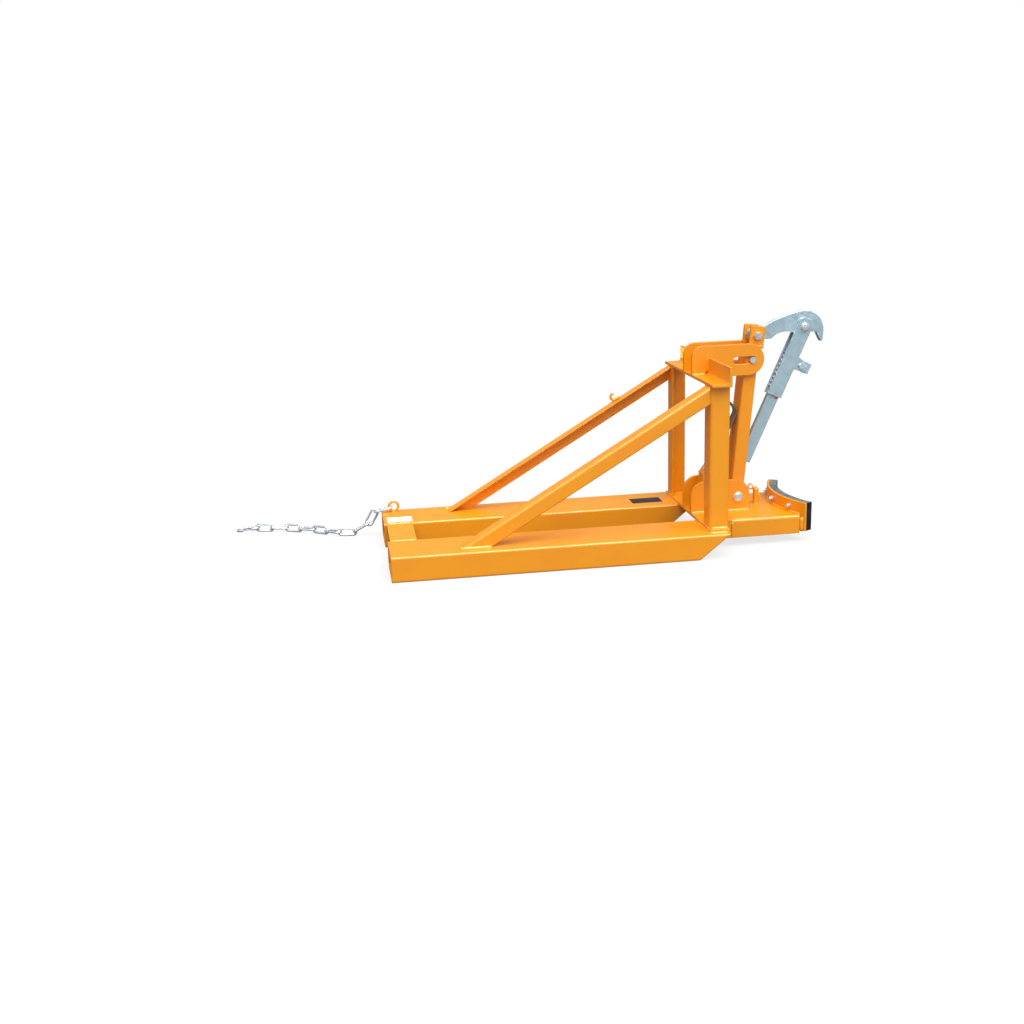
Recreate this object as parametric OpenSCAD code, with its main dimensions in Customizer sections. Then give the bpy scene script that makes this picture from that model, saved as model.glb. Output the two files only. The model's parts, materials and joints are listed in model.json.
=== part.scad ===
// Fork-mounted drum lifter with a gripping beak, in mm, +Z up.
// +X points to the drum side, +Y to the left of the carrier, z = 0 is the underside of the fork pockets.
// The origin is on the middle plane at the rear mouth of the pockets.

/* [Fork pockets] */
// length of each pocket along its top
pocket_len = 980; // [900:5:1100]
// outer width of each pocket
pocket_w = 170; // [150:1:200]
// outer height of each pocket
pocket_h = 75; // [65:1:90]
// wall of the pocket tube
pocket_wall = 5; // [4:0.5:7]
// clear gap between the two pockets
pocket_gap = 190; // [170:1:230]
// length taken off the lower front corner
pocket_cut = 95; // [70:1:120]

/* [Upper frame] */
// thickness of the plate the posts stand on
base_t = 8; // [6:1:12]
// top of the posts above the pocket undersides
frame_h = 497; // [465:1:540]
// leg of the post angles
post_leg = 56; // [50:1:62]
// thickness of the post and brace angles
leg_t = 5; // [4:0.5:7]
// leg of the brace angles
brace_leg = 42; // [38:1:50]
// distance of the brace foot from the rear mouth
brace_foot = 203; // [160:1:260]
// length of the flat leg of the top angle
angle_flat = 58; // [54:1:66]
// height of the upright leg of the top angle
angle_up = 55; // [50:1:60]

/* [Arm and guide] */
// width of the arm tube across the lifter
arm_w = 70; // [60:1:76]
// depth of the arm tube
arm_d = 40; // [36:1:46]
// wall of the arm tube
arm_wall = 4; // [3:0.5:6]
// thickness of the guide plates and the pivot cheeks
cheek_t = 10; // [8:0.5:12]
// forward lean of the arm at rest
arm_lean = 5.5; // [4:0.5:7]
// backward swing of the arm
arm_swing = 7; // [5:0.5:8]
// radius of the guide pin
pin_r = 9.5; // [8:0.5:10]

/* [Beak] */
// thickness of the beak plate
hook_t = 20; // [16:0.5:22]
// distance between the beak's two bolts
hook_reach = 154; // [148:1:162]
// radius of the beak's head
hook_head_r = 61; // [58:0.5:65]
// length of the jaw channel below its bolt
jaw_len = 222; // [210:1:236]
// depth of the jaw channel
jaw_d = 46; // [44:1:50]
// backward slope of the jaw at rest
jaw_tilt = 24; // [23:0.5:25]
// width of the sliding foot
foot_w = 35; // [30:1:36]
// travel of the sliding foot
foot_travel = 40; // [25:1:45]

/* [Saddle] */
// radius of the drum the pad fits
drum_r = 300; // [285:1:310]
// thickness of the rubber pad
pad_t = 22; // [18:1:26]
// thickness of the curved plate
saddle_t = 8; // [6:1:10]
// height of the saddle
saddle_h = 86; // [76:1:96]
// half width of the platform
platform_half = 150; // [135:1:155]
// drum axis ahead of the pocket fronts
drum_ahead = 548; // [540:1:580]

/* [Chain] */
// radius of the chain wire
link_r = 3.5; // [3:0.1:3.8]
// inner length of a link
link_in = 49; // [46:0.5:54]
// radius of the eye's ring
eye_ring = 14.5; // [14:0.5:16]

/* [Hidden] */
$fn = 64;

ORANGE = [0.95, 0.56, 0.12];
ZINC = [0.72, 0.76, 0.78];
RUBBER = [0.12, 0.12, 0.13];
STEEL = [0.62, 0.62, 0.60];

fit = 0.05;
gap = 0.3;
y_in = pocket_gap / 2;
y_out = y_in + pocket_w;
z_deck = pocket_h + base_t;
x_front = pocket_len;
x_post = x_front - post_leg;
post_y = y_out - 37;
base_half = y_out - 22;
base_rear = x_post - 2;
tube_round = 6;
root_r = 3;
heel_r = root_r + leg_t;
cross_t = 8;
cross_rear = 8;
cross_len = 78;

beam_d = 39;
beam_h = 48;
beam_half = platform_half;
beam_wall = 4;
x_beam = x_front + beam_d;
plat_t = 6;
plat_drop = 56;
bend_r = plat_t + 3;

angle_t = 8;
angle_root = 8;
angle_half = y_out - 15;
angle_rear = x_front - angle_flat;
z_angle = frame_h + angle_t;

pivot_x = x_front + 89;
pivot_z = z_deck + 42;
pivot_r = 10;
cheek_in = arm_w / 2 + 2;
cheek_out = cheek_in + cheek_t;
cheek_front = pivot_x + 36;
cheek_h = 95;
cheek_round = 46;
pin_z = frame_h + 42;
pin_up = (pin_z - pivot_z) / cos(arm_lean);
pin_x = pivot_x + pin_up * sin(arm_lean);
// the pin runs on an arc: half its rise, and how far past its ends the slot's rounds lie
pin_rise = pin_up * (1 - cos(arm_lean)) / 2;
slot_r = pin_r + pin_rise + 0.55;
slot_play = sqrt(pow(pin_rise + 0.4, 2) - pow(pin_rise, 2));
slot_z = pin_z + pin_rise;
slot_front = pin_x - slot_play;
slot_rear = pivot_x + pin_up * sin(arm_lean - arm_swing) + slot_play;
guide_r = 46.5;
guide_z = pin_z + 2.5;
guide_rear = base_rear;
guide_round = 34;

arm_low = 24;
arm_round = 5;
arm_top = pin_up + 34;
cap_t = 6;
ear_t = 10;
ear_out = 34;
ear_in = ear_out - ear_t;
ear_x = 9.7;
ear_corner = 5;
ear_w = 44;
ear_up = 71;
ear_top = ear_up + 28;
hook_bolt_r = 7;
hook_hex = 12;
hx = pivot_x + (pin_up + ear_up) * sin(arm_lean) + ear_x * cos(arm_lean);
hz = pivot_z + (pin_up + ear_up) * cos(arm_lean) - ear_x * sin(arm_lean);

jaw_up = 17;
jx = hx + sqrt(hook_reach * hook_reach - jaw_up * jaw_up);
jz = hz + jaw_up;
jaw_bolt_r = 8;
jaw_wall = 5;
jaw_in = hook_t / 2 + gap;
jaw_out = jaw_in + jaw_wall;
jaw_head = 26;
web_top = 66;
foot_half = jaw_in - gap;
foot_front = jaw_d / 2 - jaw_wall - gap;
foot_shoulder = jaw_len - 15;
// the foot's tip ends this far short of a sharp edge
foot_blunt = 57;
tongue_w = 12;
tongue_top = web_top + 20;
keeper_r = 3;
keeper_u = jaw_len - 35;
face_gap = 0.4;
spring_top = 92;
spring_r = 7.4;
spring_wire = 1.8;
spring_x = -11.5;
spring_turns = 8;
// where the line down the foot at local x meets the front face of the arm, along the jaw
function foot_reach(x) =
    let (a = arm_lean, t = jaw_tilt, sx = jx + x * cos(t) - pivot_x, sz = jz - x * sin(t) - pivot_z)
    (sx * cos(a) - sz * sin(a) - arm_d / 2 - face_gap) / sin(t - a);

saddle_x = x_front + drum_ahead;
saddle_in = drum_r + pad_t;
saddle_out = saddle_in + gap + saddle_t;
saddle_z = z_deck + 37 - saddle_h;
saddle_half = 29;
bolt_rows = [-17.5, 0, 17.5];
bolt_z = z_deck + 18;
m8_r = 4;

tab_slope = 52;
tab_t = 8;
tab_x = pivot_x - 93;
tab_z = pivot_z + 84;
tab_foot = x_front - 14;
leaf_t = 4;
leaf_half = 18;
leaf_bend = 18;
leaf_tail = 9;
leaf_up = 259;
leaf_curl = 33;
// a point on the leaf's middle line beside the tab, a distance along it
function leaf_at(s) = [tab_x + s * cos(tab_slope) + (tab_t + leaf_t / 2) * sin(tab_slope),
    tab_z + s * sin(tab_slope) - (tab_t + leaf_t / 2) * cos(tab_slope)];
leaf_base = leaf_at(leaf_bend);
leaf_kink_z = pivot_z + leaf_up;
leaf_kink_x = pivot_x + leaf_up * tan(arm_lean) - (arm_d / 2 + 0.6 * leaf_t + gap) / cos(arm_lean);
// unit vector square to the line from a to b
function side_of(a, b) = [b[1] - a[1], a[0] - b[0]] / norm(b - a);
leaf_end = [leaf_kink_x - leaf_curl * cos(49), leaf_kink_z + leaf_curl * sin(49)];

peg_x = pivot_x + 79;
peg_y = 18;
peg_r = 9;
peg_h = 53;
clip_r = 2;
clip_z = z_deck + 36;
clip_ring = 8;
clip_turn = 125;
clip_rise = 35;
clip_reach = 16.5;

bar_r = 4;
bar_bow = 10;
hook_along = 0.76;

eye_r = 4;
eye_x = 38;
eye_y = y_out - 30;
eye_z = pocket_h + eye_ring + eye_r;
slack = 0.25;
bow_r = 3 * link_r;
link_w = bow_r + link_r;
// from the middle of a link to the middle of the wire in its bow
link_half = link_in / 2 + link_r;
floor_z = link_w + 0.05;
// slope and heading of each link from the eye on, the last one is the snap hook
link_turn = [-10, -10, -10, -10, -35, -35, -25, -25, -15, -15, -15];
first_slope = 15;
hang_slope = 60;
drop_z = eye_z - (eye_ring - eye_r - link_r - slack) * sin(first_slope)
    - 2 * link_half * (sin(first_slope) + sin(hang_slope)) + 2 * (2 * link_r + slack) * sin(hang_slope);
link_slope = [first_slope, hang_slope, asin((drop_z - floor_z) / (2 * link_half)), 0, 0, 0, 0, 0, 0, 0, 8];
function heading(i) = [-cos(link_slope[i]) * cos(link_turn[i]), -cos(link_slope[i]) * sin(link_turn[i]),
    -sin(link_slope[i])];
// an upright link passes a change of slope to the next one in its own plane
function pull(i) = i % 2 == 0 && link_slope[i] != link_slope[i - 1] ? heading(i - 1) : heading(i);
function wires(i) = (i == 10 ? snap_r : link_r) + link_r + slack;
// middle of the wire where link i holds the one before
function near_bow(i) = i == 0
    ? [eye_x - eye_ring * cos(link_slope[0]), eye_y, eye_z - eye_ring * sin(link_slope[0])]
        - (eye_r + link_r + slack) * heading(0)
    : near_bow(i - 1) + 2 * link_half * heading(i - 1) - wires(i) * pull(i);
snap_r = 4;
snap_len = 78;
snap_bow = 13;
snap_pin = 1.2;
gate_eye = 3.4;

// flat outline in x and z, made into a plate from y0 to y1
module plate_xz(y0, y1) {
    translate([0, y1, 0]) rotate([90, 0, 0]) linear_extrude(y1 - y0) children();
}

module box(x0, x1, y0, y1, z0, z1) {
    translate([x0, y0, z0]) cube([x1 - x0, y1 - y0, z1 - z0]);
}

module rod_y(r, x, z, y0, y1) {
    translate([x, y1, z]) rotate([90, 0, 0]) cylinder(r = r, h = y1 - y0);
}

module hex_y(r, x, z, y0, y1) {
    translate([x, y1, z]) rotate([90, 0, 0]) cylinder(r = r, h = y1 - y0, $fn = 6);
}

// bar of thickness t between two points in x and z, from y0 to y1
module strip(a, b, t, y0, y1) {
    len = norm(b - a);
    translate([a[0], 0, a[1]]) rotate([0, -atan2(b[1] - a[1], b[0] - a[0]), 0])
        translate([0, y0, -t / 2]) cube([len, y1 - y0, t]);
}

// flat outline in y and z, drawn out from x0 to x1
module bar_yz(x0, x1) {
    translate([x0, 0, 0]) rotate([90, 0, 90]) linear_extrude(x1 - x0) children();
}

module round_rect(lo, hi, r) {
    size = hi - lo;
    translate(lo + [r, 0]) square([size[0] - 2 * r, size[1]]);
    translate(lo + [0, r]) square([size[0], size[1] - 2 * r]);
    for (x = [lo[0] + r, hi[0] - r], y = [lo[1] + r, hi[1] - r])
        translate([x, y]) circle(r);
}

// outline open below, with a round bend at each top corner
module arch(half, low, top, r) {
    translate([-half, low]) square([2 * half, top - low - r]);
    translate([r - half, low]) square([2 * (half - r), top - low]);
    for (s = [-1, 1])
        translate([s * (half - r), top - r]) circle(r);
}

// angle with its heel at the origin, a fillet at the root and, where it is bent, a round heel
module angle_section(a, b, t, r, heel = 0) {
    difference() {
        union() {
            square([a, t]);
            square([t, b]);
            corner_fill(t, r);
        }
        if (heel > 0) corner_fill(0, heel);
    }
}

// what lies between a square corner and a round of radius r in it
module corner_fill(at, r) {
    translate([at, at]) difference() {
        square(r);
        translate([r, r]) circle(r);
    }
}

module bow(big, r, from, sweep) {
    rotate([0, 0, from]) rotate_extrude(angle = sweep) translate([big, 0]) circle(r, $fn = 32);
}

module mirror_y(left) {
    if (left) mirror([0, 1, 0]) children();
    else children();
}

module in_arm() {
    translate([pivot_x, 0, pivot_z]) rotate([0, arm_lean, 0]) children();
}

module in_jaw() {
    translate([jx, 0, jz]) rotate([0, jaw_tilt, 0]) children();
}

module pocket(left) {
    color(ORANGE) mirror_y(left) difference() {
        bar_yz(0, x_front) round_rect([-y_out, 0], [-y_in, pocket_h], tube_round);
        box(-1, x_front + 1, -y_out + pocket_wall, -y_in - pocket_wall, pocket_wall,
            pocket_h - pocket_wall);
        plate_xz(-y_out - 1, -y_in + 1) translate([x_front, pocket_h]) polygon([
            [-1.1 * pocket_cut, -1.1 * pocket_h], [0.1 * pocket_cut, 0.1 * pocket_h],
            [pocket_cut, 0.1 * pocket_h], [pocket_cut, -1.1 * pocket_h]]);
    }
}

module fork_pocket_right() { pocket(false); }
module fork_pocket_left() { pocket(true); }

module rear_cross_plate() {
    color(ORANGE) box(cross_rear, cross_rear + cross_len, -y_in, y_in, pocket_h - cross_t, pocket_h);
}

module base_plate() {
    color(ORANGE) union() {
        box(base_rear, x_front, -base_half, base_half, pocket_h, z_deck);
        box(x_front, x_beam, -beam_half, beam_half, pocket_h, z_deck);
    }
}

// folded beam with closed ends, open below
module front_beam() {
    color(ORANGE) difference() {
        box(x_front, x_beam, -beam_half, beam_half, pocket_h - beam_h, pocket_h);
        box(x_front + beam_wall, x_beam - beam_wall, -beam_half + beam_wall, beam_half - beam_wall,
            pocket_h - beam_h - 1, pocket_h - beam_wall);
    }
}

module saddle_platform() {
    low = z_deck - plat_drop;
    color(ORANGE) difference() {
        bar_yz(x_beam, saddle_x - drum_r) difference() {
            arch(platform_half, low, z_deck, bend_r);
            arch(platform_half - plat_t, low - 1, z_deck - plat_t, bend_r - plat_t);
        }
        translate([saddle_x, 0, -1]) cylinder(r = saddle_out + gap, h = z_deck + 2, $fn = 256);
    }
}

// part of a ring round the drum's axis
module drum_ring(r0, r1, z0, z1, half) {
    translate([saddle_x, 0, 0]) rotate([0, 0, 180 - half]) rotate_extrude(angle = 2 * half, $fn = 256)
        translate([r0, z0]) square([r1 - r0, z1 - z0]);
}

module at_saddle_bolts() {
    for (a = bolt_rows)
        translate([saddle_x, 0, bolt_z]) rotate([0, 0, a]) rotate([0, -90, 0]) children();
}

module saddle_hole() {
    translate([0, 0, drum_r - 20]) cylinder(r = m8_r + gap, h = saddle_out - drum_r + 40);
}

module saddle_plate() {
    color(ORANGE) difference() {
        drum_ring(saddle_in + gap, saddle_out, saddle_z, saddle_z + saddle_h, saddle_half);
        at_saddle_bolts() saddle_hole();
    }
}

module saddle_pad() {
    color(RUBBER) difference() {
        drum_ring(drum_r, saddle_in, saddle_z, saddle_z + saddle_h, saddle_half);
        at_saddle_bolts() saddle_hole();
        at_saddle_bolts() translate([0, 0, drum_r - 20])
            cylinder(r = 2 * m8_r + gap, h = 20 + pad_t / 2 + gap);
    }
}

module saddle_bolts() {
    color(ZINC) at_saddle_bolts() {
        translate([0, 0, drum_r + pad_t / 2 - 4]) cylinder(r = 2 * m8_r, h = 4);
        translate([0, 0, drum_r + pad_t / 2]) cylinder(r = m8_r, h = pad_t / 2 + saddle_t + 12);
        translate([0, 0, saddle_out + gap]) cylinder(r = 7.5, h = 6.5, $fn = 6);
    }
}

module post(left) {
    color(ORANGE) mirror_y(left) translate([x_post, -post_y, z_deck])
        linear_extrude(frame_h - z_deck) angle_section(post_leg, post_leg, leg_t, root_r, heel_r);
}

module post_right() { post(false); }
module post_left() { post(true); }

brace_rise = frame_h - pocket_h;
brace_run = x_post - brace_foot;
brace_slope = atan2(brace_rise, brace_run);

// angle section running up the slope, cut level at the pocket and upright at the post
module brace(left) {
    len = norm([brace_run, brace_rise]);
    color(ORANGE) mirror_y(left) intersection() {
        translate([brace_foot, 0, pocket_h]) rotate([0, -brace_slope, 0]) bar_yz(-80, len + 80)
            translate([-post_y, 0]) mirror([0, 1])
                angle_section(brace_leg, brace_leg, leg_t, root_r, heel_r);
        box(brace_foot - 80, x_post, -y_out, 0, pocket_h, frame_h);
    }
}

module brace_right() { brace(false); }
module brace_left() { brace(true); }

module top_angle() {
    color(ORANGE) plate_xz(-angle_half, angle_half) translate([x_front, frame_h]) mirror([1, 0])
        angle_section(angle_flat, angle_up, angle_t, angle_root);
}

module guide(left) {
    top = guide_z + guide_r;
    nose = pin_x - 12.4;
    back = guide_rear + guide_round;
    color(ORANGE) mirror_y(left) plate_xz(-cheek_out, -cheek_in) difference() {
        union() {
            translate([nose, guide_z]) circle(guide_r, $fn = 128);
            translate([back, top - guide_round]) circle(guide_round, $fn = 128);
            translate([guide_rear, z_angle]) square([nose - guide_rear, top - guide_round - z_angle]);
            translate([back, z_angle]) square([nose - back, top - z_angle]);
            translate([x_front, guide_z - guide_r]) square([nose - x_front, guide_r]);
        }
        translate([x_front - angle_t, 0]) square([angle_t, frame_h + angle_up]);
        translate([x_front - angle_t, z_angle]) intersection() {
            circle(angle_root + 2);
            translate([-2 * angle_root, 0]) square(2 * angle_root);
        }
        translate([slot_rear, slot_z]) circle(slot_r);
        translate([slot_front, slot_z]) circle(slot_r);
        translate([slot_rear, slot_z - slot_r]) square([slot_front - slot_rear, 2 * slot_r]);
    }
}

module guide_plate_right() { guide(false); }
module guide_plate_left() { guide(true); }

module cheek(left) {
    top = z_deck + cheek_h;
    color(ORANGE) mirror_y(left) plate_xz(-cheek_out, -cheek_in) difference() {
        union() {
            translate([base_rear, z_deck]) square([cheek_front - base_rear, cheek_h - cheek_round]);
            translate([base_rear + cheek_round, z_deck]) square([cheek_front - base_rear
                - 2 * cheek_round, cheek_h]);
            translate([base_rear + cheek_round, top - cheek_round]) circle(cheek_round, $fn = 128);
            translate([cheek_front - cheek_round, top - cheek_round]) circle(cheek_round, $fn = 128);
        }
        translate([pivot_x, pivot_z]) circle(pivot_r + fit);
    }
}

module pivot_cheek_right() { cheek(false); }
module pivot_cheek_left() { cheek(true); }

module arm_pivot_bolt() {
    color(ZINC) translate([pivot_x, 0, pivot_z]) rotate([90, 0, 0]) {
        translate([0, 0, -cheek_out - 18]) cylinder(r = pivot_r, h = 2 * cheek_out + 18);
        translate([0, 0, cheek_out]) rotate_extrude() polygon([[0, 0], [15, 0], [15, 4], [11, 9], [0, 10]]);
        translate([0, 0, -cheek_out - 14]) difference() {
            cylinder(r = 17, h = 14, $fn = 6);
            translate([0, 0, -1]) cylinder(r = pivot_r, h = 16);
        }
    }
}

// folded plate between the cheeks: an upright web and a sloped tab
module spring_bracket() {
    web_z = tab_z - (tab_x - tab_foot) * tan(tab_slope);
    color(ORANGE) difference() {
        plate_xz(-cheek_in, cheek_in) polygon([[tab_foot, z_deck], [tab_foot + tab_t, z_deck],
            [tab_foot + tab_t, web_z - tab_t / cos(tab_slope) + tab_t * tan(tab_slope)],
            [tab_x + 16 * cos(tab_slope) + tab_t * sin(tab_slope),
                tab_z + 16 * sin(tab_slope) - tab_t * cos(tab_slope)],
            [tab_x + 16 * cos(tab_slope), tab_z + 16 * sin(tab_slope)], [tab_foot, web_z]]);
        for (s = [-1, 1])
            plate_xz(s * (cheek_in + 25) / 2 - (cheek_in - 25) / 2 - 1,
                s * (cheek_in + 25) / 2 + (cheek_in - 25) / 2 + 1)
                translate([base_rear, z_deck + cheek_h - 20]) square([pivot_x - base_rear, cheek_h]);
        at_spring_bolt() translate([0, 0, -30]) cylinder(r = m8_r + fit, h = 60);
    }
}

module at_spring_bolt() {
    translate([tab_x, 0, tab_z]) rotate([0, -tab_slope, 0]) children();
}

module leaf_root() {
    a = leaf_at(-leaf_tail);
    b = leaf_at(leaf_bend - 1.1);
    color(STEEL) difference() {
        strip(a, b, leaf_t, -leaf_half, leaf_half);
        at_spring_bolt() translate([0, 0, -30]) cylinder(r = m8_r + fit, h = 60);
    }
}

module spring_bolt() {
    color(ZINC) at_spring_bolt() {
        cylinder(r = 7, h = 5.5, $fn = 6);
        translate([0, 0, -tab_t - leaf_t - 11]) cylinder(r = m8_r, h = tab_t + leaf_t + 12);
        translate([0, 0, -tab_t - leaf_t - 6.5]) cylinder(r = 7.5, h = 6.5, $fn = 6);
    }
}

// bent strip that bears on the arm's rear face, with a mitre at the bend
module leaf_spring() {
    kink = [leaf_kink_x, leaf_kink_z];
    low = side_of(leaf_base, kink) * leaf_t / 2;
    high = side_of(kink, leaf_end) * leaf_t / 2;
    mitre = (low + high) / (1 + low * high * 4 / (leaf_t * leaf_t));
    color(STEEL) plate_xz(-leaf_half, leaf_half) polygon([leaf_base + low, kink + mitre, leaf_end + high,
        leaf_end - high, kink - mitre, leaf_base - low]);
}

module chain_eye() {
    color(ORANGE) union() {
        translate([eye_x, eye_y, eye_z]) rotate([90, 0, 0]) bow(eye_ring, eye_r, 0, 360);
        box(eye_x - 8, eye_x + 8, eye_y - eye_r, eye_y + eye_r, pocket_h, pocket_h + eye_r);
    }
}

// open hook of round bar on the top leg of the left brace
module chain_hook() {
    x = brace_foot + hook_along * brace_run;
    z = pocket_h + hook_along * brace_rise;
    color(ORANGE) translate([x, post_y - brace_leg / 2, z]) rotate([0, -brace_slope, 0])
        translate([0, 0, fit]) union() {
            translate([0, 0, bar_bow + bar_r]) rotate([90, 0, 0]) bow(bar_bow, bar_r, 90, 180);
            translate([0, 0, bar_r]) rotate([0, 90, 0]) cylinder(r = bar_r, h = 14, $fn = 32);
            translate([0, 0, 2 * bar_bow + bar_r]) rotate([0, 90, 0]) cylinder(r = bar_r, h = 4, $fn = 32);
        }
}

module at_clip() {
    translate([peg_x, peg_y, clip_z]) rotate([0, 0, clip_turn]) rotate([0, -clip_rise, 0]) children();
}

module peg() {
    color(ORANGE) difference() {
        translate([peg_x, peg_y, z_deck]) rotate_extrude() polygon([[0, 0], [peg_r, 0],
            [peg_r, peg_h - 6], [peg_r - 4, peg_h - 1], [peg_r - 6, peg_h], [0, peg_h]]);
        at_clip() translate([-20, 0, 0]) rotate([0, 90, 0]) cylinder(r = clip_r + fit, h = 40);
    }
}

// wire pin with a ring, pulled out along its own line
module spring_clip() {
    color(ORANGE) at_clip() union() {
        translate([-20, 0, 0]) rotate([0, 90, 0]) cylinder(r = clip_r, h = 20 + clip_reach);
        translate([clip_reach + clip_ring, 0, 0]) rotate([90, 0, 0]) bow(clip_ring, clip_r, 0, 360);
    }
}

module arm_tube() {
    color(ORANGE) in_arm() difference() {
        translate([0, 0, -arm_low]) linear_extrude(arm_low + arm_top)
            round_rect([-arm_d, -arm_w] / 2, [arm_d, arm_w] / 2, arm_round);
        box(-arm_d / 2 + arm_wall, arm_d / 2 - arm_wall, -arm_w / 2 + arm_wall, arm_w / 2 - arm_wall,
            -arm_low - 1, arm_top + 1);
        rod_y(pivot_r + 5 + fit, 0, 0, -arm_w, arm_w);
        rod_y(pin_r + fit, 0, pin_up, -arm_w, arm_w);
    }
}

module arm_bush() {
    color(STEEL) difference() {
        rod_y(pivot_r + 5, pivot_x, pivot_z, -cheek_in + gap, cheek_in - gap);
        rod_y(pivot_r + fit, pivot_x, pivot_z, -arm_w, arm_w);
    }
}

module arm_cap() {
    color(ORANGE) in_arm() box(-arm_d / 2, ear_x + ear_w / 2, -arm_w / 2, arm_w / 2, arm_top,
        arm_top + cap_t);
}

module ear(left) {
    low = arm_top + cap_t;
    top = pin_up + ear_top;
    x0 = ear_x - ear_w / 2;
    color(ORANGE) in_arm() mirror_y(left) plate_xz(-ear_out, -ear_in) difference() {
        union() {
            translate([x0, low]) square([ear_w, top - ear_corner - low]);
            translate([x0 + ear_corner, low]) square([ear_w - 2 * ear_corner, top - low]);
            for (x = [x0 + ear_corner, x0 + ear_w - ear_corner])
                translate([x, top - ear_corner]) circle(ear_corner);
        }
        translate([ear_x, pin_up + ear_up]) circle(hook_bolt_r + fit);
    }
}

module arm_ear_right() { ear(false); }
module arm_ear_left() { ear(true); }

module guide_pin() {
    color(ZINC) rod_y(pin_r, pin_x, pin_z, -cheek_out - 3, cheek_out + 3);
}

module hook_bolt() {
    color(ZINC) union() {
        rod_y(hook_bolt_r, hx, hz, -ear_out, ear_out + 16);
        hex_y(hook_hex, hx, hz, -ear_out - 9, -ear_out);
        difference() {
            hex_y(hook_hex, hx, hz, ear_out, ear_out + 13);
            rod_y(hook_bolt_r, hx, hz, ear_out - 1, ear_out + 14);
        }
    }
}

module hook_spacers() {
    color(ZINC) for (s = [-1, 1])
        difference() {
            mid = s * (ear_in + hook_t / 2 + gap) / 2;
            half = (ear_in - hook_t / 2 - gap) / 2;
            rod_y(hook_bolt_r + 5, hx, hz, mid - half, mid + half);
            rod_y(hook_bolt_r + fit, hx, hz, -arm_w, arm_w);
        }
}

// the beak: a bowed arm, a round head and a claw, about the bolt at the origin
module hook_outline() {
    j = [jx - hx, jaw_up];
    head = [j[0], j[1] - 13];
    reach = hook_head_r;
    low = head[1] - 3;
    crown = 353;
    throat = [97, -60];
    throat_r = 65.4;
    difference() {
        union() {
            intersection() {
                translate([head[0] + 46, low - 286]) circle(crown, $fn = 360);
                polygon([[-6, -10], [6, -16], [22, -13.5], [50, -14.7], [head[0] - 45, low],
                    [head[0] - 2, low], [head[0] - 2, 90], [-6, 90]]);
            }
            circle(20);
            intersection() {
                union() {
                    translate(head) circle(reach, $fn = 128);
                    translate(head - [1, 13]) circle(reach, $fn = 128);
                }
                translate([head[0], low]) polygon([[-45, 0], [38, 0], [reach - 8, -29], [reach + 10, -29],
                    [reach + 10, 100], [-45, 100]]);
            }
        }
        translate(throat) circle(throat_r, $fn = 256);
        circle(hook_bolt_r + fit);
        translate(j) circle(jaw_bolt_r + fit);
    }
}

module hook_plate() {
    color(ZINC) plate_xz(-hook_t / 2, hook_t / 2) translate([hx, hz]) hook_outline();
}

module jaw_bolt() {
    color(ZINC) union() {
        rod_y(jaw_bolt_r, jx, jz, -jaw_out - gap, jaw_out + 15);
        translate([jx, -jaw_out - gap, jz]) rotate([90, 0, 0]) rotate_extrude()
            polygon([[0, 0], [13, 0], [13, 4], [9, 8.5], [0, 10]]);
        difference() {
            hex_y(13, jx, jz, jaw_out + gap, jaw_out + 12);
            rod_y(jaw_bolt_r, jx, jz, jaw_out, jaw_out + 13);
        }
    }
}

module jaw_channel() {
    h = jaw_d / 2;
    color(ZINC) in_jaw() difference() {
        union() {
            for (y = [-jaw_out, jaw_in])
                plate_xz(y, y + jaw_wall)
                    polygon([[-h, -jaw_len], [h, -jaw_len], [h, jaw_head - 12], [h - 12, jaw_head],
                        [-h + 10, jaw_head], [-h, jaw_head - 10]]);
            box(h - jaw_wall, h, -jaw_in - 1, jaw_in + 1, -jaw_len, -web_top);
        }
        rod_y(jaw_bolt_r + fit, 0, 0, -50, 50);
        rod_y(keeper_r + fit, foot_front - tongue_w / 2, -keeper_u, -50, 50);
    }
}

module jaw_shoe() {
    h = jaw_d / 2;
    color(ZINC) in_jaw() difference() {
        union() {
            plate_xz(-9, 9) polygon([[h, -128], [h, -88], [h + 26, -94], [h + 36, -100], [h + 36, -122],
                [h + 20, -126]]);
            box(h + 36, h + 44, -20, 20, -126, -94);
        }
        rod_y(5 + fit, h + 20, -110, -50, 50);
    }
}

module shoe_bolt() {
    x = jaw_d / 2 + 20;
    color(ZINC) in_jaw() union() {
        rod_y(5, x, -110, -9 - fit, 9 + 10);
        hex_y(9, x, -110, -9 - 6.4, -9);
        hex_y(9, x, -110, 9, 9 + 8);
    }
}

module spring_stop() {
    color(ZINC) in_jaw() box(-jaw_d / 2 + 3, foot_front - tongue_w - 1.5, -jaw_in, jaw_in, -spring_top,
        -spring_top + 6);
}

// round wire wound up a cylinder, with closed ends
module coil_spring() {
    low = -foot_shoulder + spring_wire + gap;
    high = -spring_top - spring_wire - gap;
    steps = spring_turns * 20;
    sides = 8;
    rise = (high - low) / steps;
    pitch_slope = atan2(high - low, spring_turns * 2 * PI * spring_r);
    points = [for (i = [0:steps], k = [0:sides - 1])
        let (a = i * 18, b = k * 360 / sides,
            out = spring_r + spring_wire * cos(b), up = spring_wire * sin(b))
        [spring_x + out * cos(a) + up * sin(pitch_slope) * sin(a),
            out * sin(a) - up * sin(pitch_slope) * cos(a), low + i * rise + up * cos(pitch_slope)]];
    walls = [for (i = [0:steps - 1], k = [0:sides - 1])
        let (n = (k + 1) % sides)
        [i * sides + k, (i + 1) * sides + k, (i + 1) * sides + n, i * sides + n]];
    ends = [[for (k = [0:sides - 1]) k], [for (k = [0:sides - 1]) steps * sides + sides - 1 - k]];
    color(STEEL) in_jaw() polyhedron(points, concat(walls, ends), convexity = 10);
}

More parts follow.
